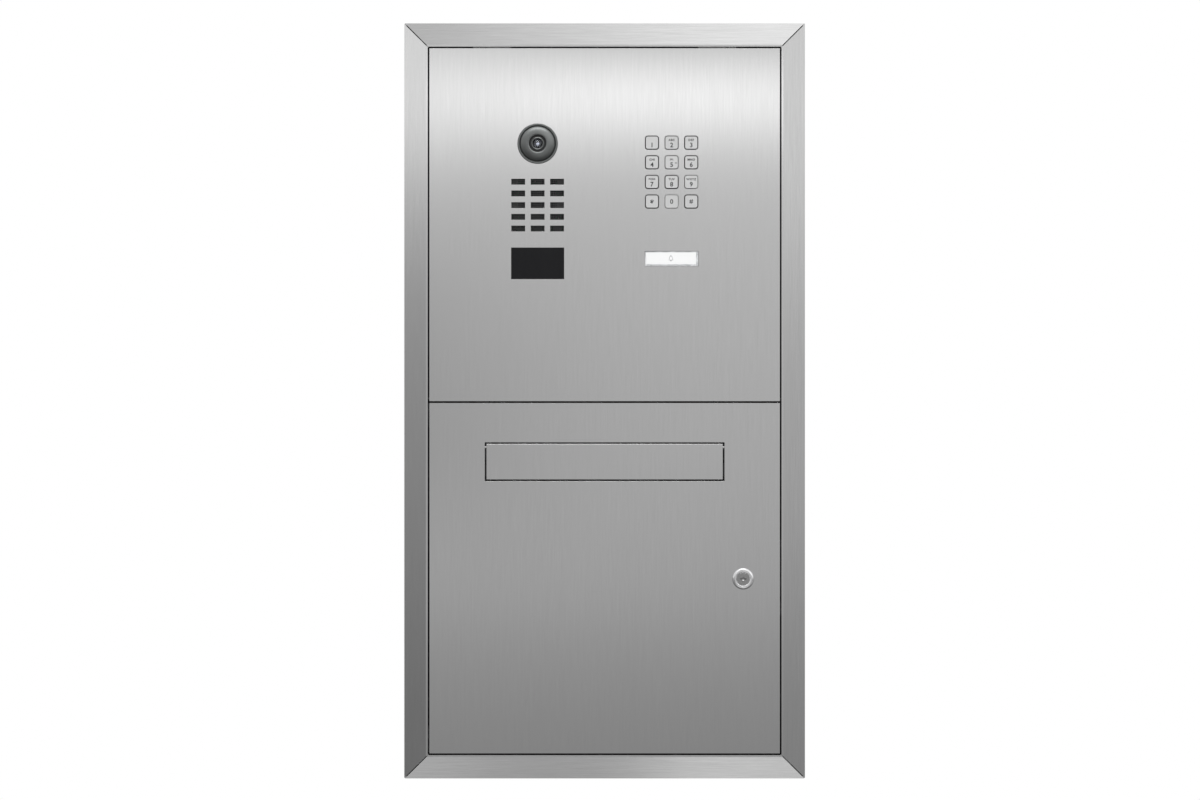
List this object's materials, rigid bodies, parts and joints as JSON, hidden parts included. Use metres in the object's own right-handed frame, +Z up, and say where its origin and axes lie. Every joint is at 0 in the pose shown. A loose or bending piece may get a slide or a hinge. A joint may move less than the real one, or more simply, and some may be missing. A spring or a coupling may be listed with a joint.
{
  "type": "video door station with letterbox",
  "caption": "Flush-mounted brushed-steel video door station with keypad, call button and loudspeaker over a letterbox with a sprung flap and a locking hinged door.",
  "frame": {"origin": "centre of the four wall-fixing holes, on the rear face of the wall box", "axes": "+X right and +Z up as seen from the street, +Y into the wall; the front faces -Y"},
  "size_m": [0.425, 0.116, 0.801],
  "materials": {
    "panel_steel": "vertically brushed stainless steel, satin",
    "trim_steel": "brushed stainless steel along each member, satin",
    "box_steel": "galvanised sheet, dull spangle",
    "fastener_steel": "bright turned steel",
    "black_steel": "black-oxide steel, satin",
    "key_steel": "fine satin steel, dark engraved glyphs",
    "camera_grey": "dark grey satin anodised",
    "lens_black": "ribbed black lens barrel",
    "lens_glass": "coated glass",
    "black_mesh": "black perforated sheet",
    "window_black": "smooth dark acrylic, semi-gloss",
    "black_plastic": "fine-grained black moulding",
    "circuit_board": "green solder mask with tracks",
    "terminal_green": "green moulded terminal housing",
    "silicone_grey": "matt dark grey silicone",
    "rubber_black": "matt black rubber",
    "bush_bronze": "sintered bronze",
    "button_clear": "clear frosted edge",
    "name_plate_white": "back-lit white insert, faint bell sign",
    "lock_chrome": "polished nickel-chrome",
    "cam_zinc": "zinc-plated pressing"
  },
  "bodies": {
    "station": {"wall_box": "box_steel", "divider_shelf": "box_steel", "trim_top": "trim_steel", "trim_bottom": "trim_steel", "trim_left": "trim_steel", "trim_right": "trim_steel", "corner_brackets": "black_steel", "trim_screws": "fastener_steel", "cable_grommet": "rubber_black", "front_plate": "panel_steel", "plate_screws": "black_steel", "camera_bezel": "camera_grey", "camera_cone": "camera_grey", "lens_barrel": "lens_black", "lens_glass": "lens_glass", "camera_module": "black_plastic", "speaker_mesh": "black_mesh", "mesh_screws": "black_steel", "speaker_driver": "black_plastic", "microphone": "black_plastic", "sensor_window": "window_black", "sensor_board": "circuit_board", "key_guide": "black_plastic", "key_mat": "silicone_grey", "keypad_board": "circuit_board", "button_guide": "black_plastic", "button_board": "circuit_board", "button_springs": "fastener_steel", "main_board": "circuit_board", "electronics_cover": "black_plastic", "terminal_block": "terminal_green", "cover_screws": "fastener_steel", "hinge_arms": "box_steel", "strike_plate": "box_steel"},
    "door": {"door_panel": "panel_steel", "hinge_bushes": "bush_bronze", "letter_guide": "box_steel", "flap_rod": "fastener_steel", "flap_springs": "fastener_steel", "lock_barrel": "lock_chrome", "lock_nut": "fastener_steel"},
    "flap": {"letter_flap": "panel_steel", "flap_stops": "rubber_black"},
    "lock": {"lock_plug": "lock_chrome", "lock_cam": "cam_zinc", "cam_screw": "fastener_steel"},
    "call_button": {"call_button": "button_clear", "name_plate": "name_plate_white"},
    "key_1": {"key_1": "key_steel"},
    "key_2": {"key_2": "key_steel"},
    "key_3": {"key_3": "key_steel"},
    "key_4": {"key_4": "key_steel"},
    "key_5": {"key_5": "key_steel"},
    "key_6": {"key_6": "key_steel"},
    "key_7": {"key_7": "key_steel"},
    "key_8": {"key_8": "key_steel"},
    "key_9": {"key_9": "key_steel"},
    "key_star": {"key_star": "key_steel"},
    "key_0": {"key_0": "key_steel"},
    "key_hash": {"key_hash": "key_steel"}
  },
  "joints": [
    {"name": "door_hinge", "type": "hinge", "parent": "station", "child": "door", "pos_m": [-0.16775, -0.105, -0.188], "axis": [0, 0, -1], "range_deg": [0, 105]},
    {"name": "flap_hinge", "type": "hinge", "parent": "door", "child": "flap", "pos_m": [0, -0.1082, -0.0493], "axis": [1, 0, 0], "range_deg": [0, 70], "stiffness_Nm_per_rad": 0.03, "springref_deg": -28.65},
    {"name": "lock_turn", "type": "hinge", "parent": "door", "child": "lock", "pos_m": [0.1468, -0.112, -0.1885], "axis": [0, 1, 0], "range_deg": [0, 90]},
    {"name": "call_button_press", "type": "slide", "parent": "station", "child": "call_button", "axis": [0, 1, 0], "range_m": [0, 0.0012], "stiffness_N_per_m": 600, "springref_m": -0.001},
    {"name": "key_1_press", "type": "slide", "parent": "station", "child": "key_1", "axis": [0, 1, 0], "range_m": [0, 0.001], "stiffness_N_per_m": 800, "springref_m": -0.0005},
    {"name": "key_2_press", "type": "slide", "parent": "station", "child": "key_2", "axis": [0, 1, 0], "range_m": [0, 0.001], "stiffness_N_per_m": 800, "springref_m": -0.0005},
    {"name": "key_3_press", "type": "slide", "parent": "station", "child": "key_3", "axis": [0, 1, 0], "range_m": [0, 0.001], "stiffness_N_per_m": 800, "springref_m": -0.0005},
    {"name": "key_4_press", "type": "slide", "parent": "station", "child": "key_4", "axis": [0, 1, 0], "range_m": [0, 0.001], "stiffness_N_per_m": 800, "springref_m": -0.0005},
    {"name": "key_5_press", "type": "slide", "parent": "station", "child": "key_5", "axis": [0, 1, 0], "range_m": [0, 0.001], "stiffness_N_per_m": 800, "springref_m": -0.0005},
    {"name": "key_6_press", "type": "slide", "parent": "station", "child": "key_6", "axis": [0, 1, 0], "range_m": [0, 0.001], "stiffness_N_per_m": 800, "springref_m": -0.0005},
    {"name": "key_7_press", "type": "slide", "parent": "station", "child": "key_7", "axis": [0, 1, 0], "range_m": [0, 0.001], "stiffness_N_per_m": 800, "springref_m": -0.0005},
    {"name": "key_8_press", "type": "slide", "parent": "station", "child": "key_8", "axis": [0, 1, 0], "range_m": [0, 0.001], "stiffness_N_per_m": 800, "springref_m": -0.0005},
    {"name": "key_9_press", "type": "slide", "parent": "station", "child": "key_9", "axis": [0, 1, 0], "range_m": [0, 0.001], "stiffness_N_per_m": 800, "springref_m": -0.0005},
    {"name": "key_star_press", "type": "slide", "parent": "station", "child": "key_star", "axis": [0, 1, 0], "range_m": [0, 0.001], "stiffness_N_per_m": 800, "springref_m": -0.0005},
    {"name": "key_0_press", "type": "slide", "parent": "station", "child": "key_0", "axis": [0, 1, 0], "range_m": [0, 0.001], "stiffness_N_per_m": 800, "springref_m": -0.0005},
    {"name": "key_hash_press", "type": "slide", "parent": "station", "child": "key_hash", "axis": [0, 1, 0], "range_m": [0, 0.001], "stiffness_N_per_m": 800, "springref_m": -0.0005}
  ]
}
